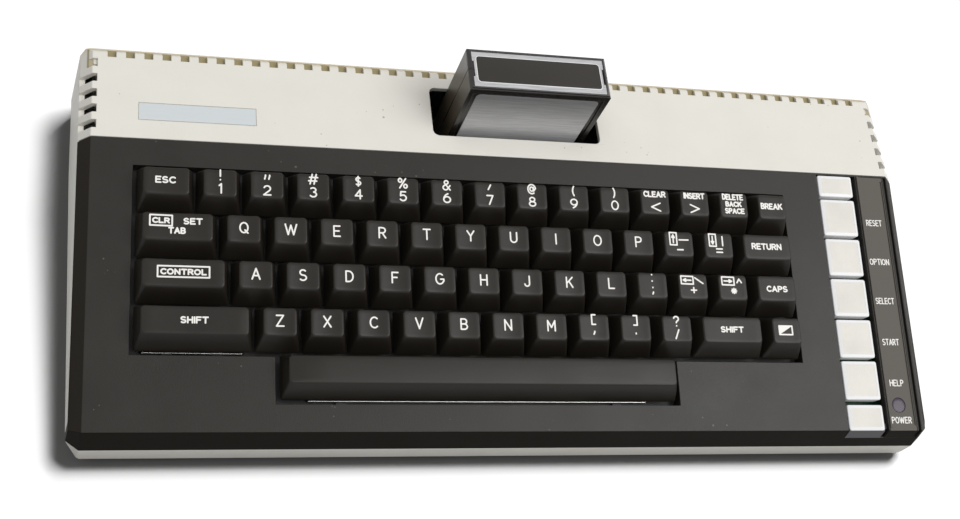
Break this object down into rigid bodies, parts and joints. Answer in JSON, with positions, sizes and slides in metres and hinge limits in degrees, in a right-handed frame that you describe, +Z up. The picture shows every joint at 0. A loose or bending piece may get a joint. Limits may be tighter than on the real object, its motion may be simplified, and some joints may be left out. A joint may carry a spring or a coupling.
{
  "type": "vintage home computer",
  "caption": "Wedge-shaped home computer with a built-in sculpted keyboard, a column of silver console buttons and a plug-in cartridge standing in its slot.",
  "frame": {"origin": "centre of the footprint, on the table under the feet", "axes": "+X to the right along the keyboard, +Y from the front edge towards the rear deck, +Z up"},
  "size_m": [0.381, 0.168, 0.083],
  "materials": {
    "case_cream": "cream ABS with a fine moulded grain, yellowed towards the rear edge",
    "bezel_brown": "dark brown-grey ABS with a fine moulded grain",
    "base_cream": "cream ABS with a fine moulded grain",
    "badge_silver": "thin bare silvered plate",
    "label_dark": "dark brown-grey panel",
    "button_silver": "silvered plastic with a brushed face",
    "led_purple": "dark red lens",
    "board_green": "lacquered circuit board",
    "frame_black": "black moulded frame",
    "dome_rubber": "grey silicone rubber",
    "spring_wire": "bright spring wire",
    "key_brown": "dark brown key plastic, satin, worn smooth on top",
    "slot_black": "black moulded well",
    "cartridge_black": "black-brown moulded shell",
    "label_foil": "silver foil labels, brushed",
    "chip_black": "black epoxy",
    "tin_plate": "tin plate",
    "socket_black": "black moulded socket",
    "ribbon_grey": "grey flat cable",
    "rocker_black": "polished black plastic",
    "foot_rubber": "black rubber",
    "screw_steel": "zinc-plated steel"
  },
  "bodies": {
    "case": {"top_case": "case_cream", "keyboard_bezel": "bezel_brown", "bottom_case": "base_cream", "nameplate": "badge_silver", "label_panel": "label_dark", "strip_fillers": "button_silver", "power_led": "led_purple", "console_board": "board_green", "key_frame": "frame_black", "dome_sheet": "dome_rubber", "key_circuit": "board_green", "slot_well": "slot_black", "motherboard": "board_green", "board_chips": "chip_black", "rf_shield": "tin_plate", "cartridge_connector": "socket_black", "rf_modulator": "tin_plate", "ribbon_cable": "ribbon_grey", "controller_ports": "socket_black", "peripheral_port": "socket_black", "power_jack": "socket_black", "power_switch": "socket_black", "feet": "foot_rubber", "case_screws": "screw_steel"},
    "key_esc": {"key_esc": "key_brown"},
    "key_tab": {"key_tab": "key_brown"},
    "key_control": {"key_control": "key_brown"},
    "key_shift_left": {"key_shift_left": "key_brown"},
    "key_space": {"key_space": "key_brown"},
    "key_return": {"key_return": "key_brown"},
    "key_caps": {"key_caps": "key_brown"},
    "key_shift_right": {"key_shift_right": "key_brown"},
    "key_inverse": {"key_inverse": "key_brown"},
    "key_break": {"key_break": "key_brown"},
    "keys_col_1": {"keys_col_1": "key_brown"},
    "keys_col_2": {"keys_col_2": "key_brown"},
    "keys_col_3": {"keys_col_3": "key_brown"},
    "keys_col_4": {"keys_col_4": "key_brown"},
    "keys_col_5": {"keys_col_5": "key_brown"},
    "keys_col_6": {"keys_col_6": "key_brown"},
    "keys_col_7": {"keys_col_7": "key_brown"},
    "keys_col_8": {"keys_col_8": "key_brown"},
    "keys_col_9": {"keys_col_9": "key_brown"},
    "keys_col_10": {"keys_col_10": "key_brown"},
    "keys_col_11": {"keys_col_11": "key_brown"},
    "button_reset": {"button_reset": "button_silver"},
    "button_option": {"button_option": "button_silver"},
    "button_select": {"button_select": "button_silver"},
    "button_start": {"button_start": "button_silver"},
    "button_help": {"button_help": "button_silver"},
    "space_wire": {"space_wire": "spring_wire"},
    "shift_wire": {"shift_wire": "spring_wire"},
    "slot_door_front": {"slot_door_front": "slot_black"},
    "slot_door_rear": {"slot_door_rear": "slot_black"},
    "power_rocker": {"power_rocker": "rocker_black"},
    "channel_slider": {"channel_slider": "rocker_black"},
    "cartridge": {"cartridge_front_shell": "cartridge_black", "cartridge_back_shell": "cartridge_black", "cartridge_board": "board_green", "cartridge_label": "label_foil"}
  },
  "joints": [
    {"name": "key_esc_press", "type": "slide", "parent": "case", "child": "key_esc", "axis": [0, 0.1864, -0.9825], "range_m": [0, 0.0038], "stiffness_N_per_m": 120, "springref_m": -0.004},
    {"name": "key_tab_press", "type": "slide", "parent": "case", "child": "key_tab", "axis": [0, 0.1864, -0.9825], "range_m": [0, 0.0038], "stiffness_N_per_m": 120, "springref_m": -0.004},
    {"name": "key_control_press", "type": "slide", "parent": "case", "child": "key_control", "axis": [0, 0.1864, -0.9825], "range_m": [0, 0.0038], "stiffness_N_per_m": 120, "springref_m": -0.004},
    {"name": "key_shift_left_press", "type": "slide", "parent": "case", "child": "key_shift_left", "axis": [0, 0.1864, -0.9825], "range_m": [0, 0.0038], "stiffness_N_per_m": 120, "springref_m": -0.004},
    {"name": "key_space_press", "type": "slide", "parent": "case", "child": "key_space", "axis": [0, 0.1864, -0.9825], "range_m": [0, 0.0038], "stiffness_N_per_m": 240, "springref_m": -0.004},
    {"name": "key_return_press", "type": "slide", "parent": "case", "child": "key_return", "axis": [0, 0.1864, -0.9825], "range_m": [0, 0.0038], "stiffness_N_per_m": 120, "springref_m": -0.004},
    {"name": "key_caps_press", "type": "slide", "parent": "case", "child": "key_caps", "axis": [0, 0.1864, -0.9825], "range_m": [0, 0.0038], "stiffness_N_per_m": 120, "springref_m": -0.004},
    {"name": "key_shift_right_press", "type": "slide", "parent": "case", "child": "key_shift_right", "axis": [0, 0.1864, -0.9825], "range_m": [0, 0.0038], "stiffness_N_per_m": 120, "springref_m": -0.004},
    {"name": "key_inverse_press", "type": "slide", "parent": "case", "child": "key_inverse", "axis": [0, 0.1864, -0.9825], "range_m": [0, 0.0038], "stiffness_N_per_m": 120, "springref_m": -0.004},
    {"name": "key_break_press", "type": "slide", "parent": "case", "child": "key_break", "axis": [0, 0.1864, -0.9825], "range_m": [0, 0.0038], "stiffness_N_per_m": 120, "springref_m": -0.004},
    {"name": "keys_col_1_press", "type": "slide", "parent": "case", "child": "keys_col_1", "axis": [0, 0.1864, -0.9825], "range_m": [0, 0.0038], "stiffness_N_per_m": 400, "springref_m": -0.004},
    {"name": "keys_col_2_press", "type": "slide", "parent": "case", "child": "keys_col_2", "axis": [0, 0.1864, -0.9825], "range_m": [0, 0.0038], "stiffness_N_per_m": 400, "springref_m": -0.004},
    {"name": "keys_col_3_press", "type": "slide", "parent": "case", "child": "keys_col_3", "axis": [0, 0.1864, -0.9825], "range_m": [0, 0.0038], "stiffness_N_per_m": 400, "springref_m": -0.004},
    {"name": "keys_col_4_press", "type": "slide", "parent": "case", "child": "keys_col_4", "axis": [0, 0.1864, -0.9825], "range_m": [0, 0.0038], "stiffness_N_per_m": 400, "springref_m": -0.004},
    {"name": "keys_col_5_press", "type": "slide", "parent": "case", "child": "keys_col_5", "axis": [0, 0.1864, -0.9825], "range_m": [0, 0.0038], "stiffness_N_per_m": 400, "springref_m": -0.004},
    {"name": "keys_col_6_press", "type": "slide", "parent": "case", "child": "keys_col_6", "axis": [0, 0.1864, -0.9825], "range_m": [0, 0.0038], "stiffness_N_per_m": 400, "springref_m": -0.004},
    {"name": "keys_col_7_press", "type": "slide", "parent": "case", "child": "keys_col_7", "axis": [0, 0.1864, -0.9825], "range_m": [0, 0.0038], "stiffness_N_per_m": 400, "springref_m": -0.004},
    {"name": "keys_col_8_press", "type": "slide", "parent": "case", "child": "keys_col_8", "axis": [0, 0.1864, -0.9825], "range_m": [0, 0.0038], "stiffness_N_per_m": 400, "springref_m": -0.004},
    {"name": "keys_col_9_press", "type": "slide", "parent": "case", "child": "keys_col_9", "axis": [0, 0.1864, -0.9825], "range_m": [0, 0.0038], "stiffness_N_per_m": 400, "springref_m": -0.004},
    {"name": "keys_col_10_press", "type": "slide", "parent": "case", "child": "keys_col_10", "axis": [0, 0.1864, -0.9825], "range_m": [0, 0.0038], "stiffness_N_per_m": 400, "springref_m": -0.004},
    {"name": "keys_col_11_press", "type": "slide", "parent": "case", "child": "keys_col_11", "axis": [0, 0.1864, -0.9825], "range_m": [0, 0.0038], "stiffness_N_per_m": 400, "springref_m": -0.004},
    {"name": "button_reset_press", "type": "slide", "parent": "case", "child": "button_reset", "axis": [0, 0.1864, -0.9825], "range_m": [0, 0.0015], "stiffness_N_per_m": 400, "springref_m": -0.002},
    {"name": "button_option_press", "type": "slide", "parent": "case", "child": "button_option", "axis": [0, 0.1864, -0.9825], "range_m": [0, 0.0015], "stiffness_N_per_m": 400, "springref_m": -0.002},
    {"name": "button_select_press", "type": "slide", "parent": "case", "child": "button_select", "axis": [0, 0.1864, -0.9825], "range_m": [0, 0.0015], "stiffness_N_per_m": 400, "springref_m": -0.002},
    {"name": "button_start_press", "type": "slide", "parent": "case", "child": "button_start", "axis": [0, 0.1864, -0.9825], "range_m": [0, 0.0015], "stiffness_N_per_m": 400, "springref_m": -0.002},
    {"name": "button_help_press", "type": "slide", "parent": "case", "child": "button_help", "axis": [0, 0.1864, -0.9825], "range_m": [0, 0.0015], "stiffness_N_per_m": 400, "springref_m": -0.002},
    {"name": "space_wire_swing", "type": "hinge", "parent": "case", "child": "space_wire", "pos_m": [-0.02117, -0.0669, 0.02444], "axis": [-1, 0, 0], "range_deg": [0, 31.5]},
    {"name": "shift_wire_swing", "type": "hinge", "parent": "case", "child": "shift_wire", "pos_m": [-0.14079, -0.04818, 0.02799], "axis": [-1, 0, 0], "range_deg": [0, 31.5]},
    {"name": "cartridge_pull", "type": "slide", "parent": "case", "child": "cartridge", "axis": [0, 0, 1], "range_m": [0, 0.034]},
    {"name": "slot_door_front_swing", "type": "hinge", "parent": "case", "child": "slot_door_front", "pos_m": [0.0009, 0.04509, 0.046], "axis": [-1, 0, 0], "range_deg": [0, 14], "stiffness_Nm_per_rad": 0.02, "springref_deg": -17.19},
    {"name": "slot_door_rear_swing", "type": "hinge", "parent": "case", "child": "slot_door_rear", "pos_m": [0.0009, 0.07249, 0.046], "axis": [1, 0, 0], "range_deg": [0, 9], "stiffness_Nm_per_rad": 0.02, "springref_deg": -17.19},
    {"name": "power_rocker_tilt", "type": "hinge", "parent": "case", "child": "power_rocker", "pos_m": [0.154, 0.0772, 0.0245], "axis": [0, 0, 1], "range_deg": [0, 14]},
    {"name": "channel_slider_move", "type": "slide", "parent": "case", "child": "channel_slider", "axis": [1, 0, 0], "range_m": [0, 0.005]}
  ],
  "couplings": [
    {"joint": "space_wire_swing", "follows": "key_space_press", "rad_per_m": 141.91},
    {"joint": "shift_wire_swing", "follows": "key_shift_left_press", "rad_per_m": 141.91}
  ]
}
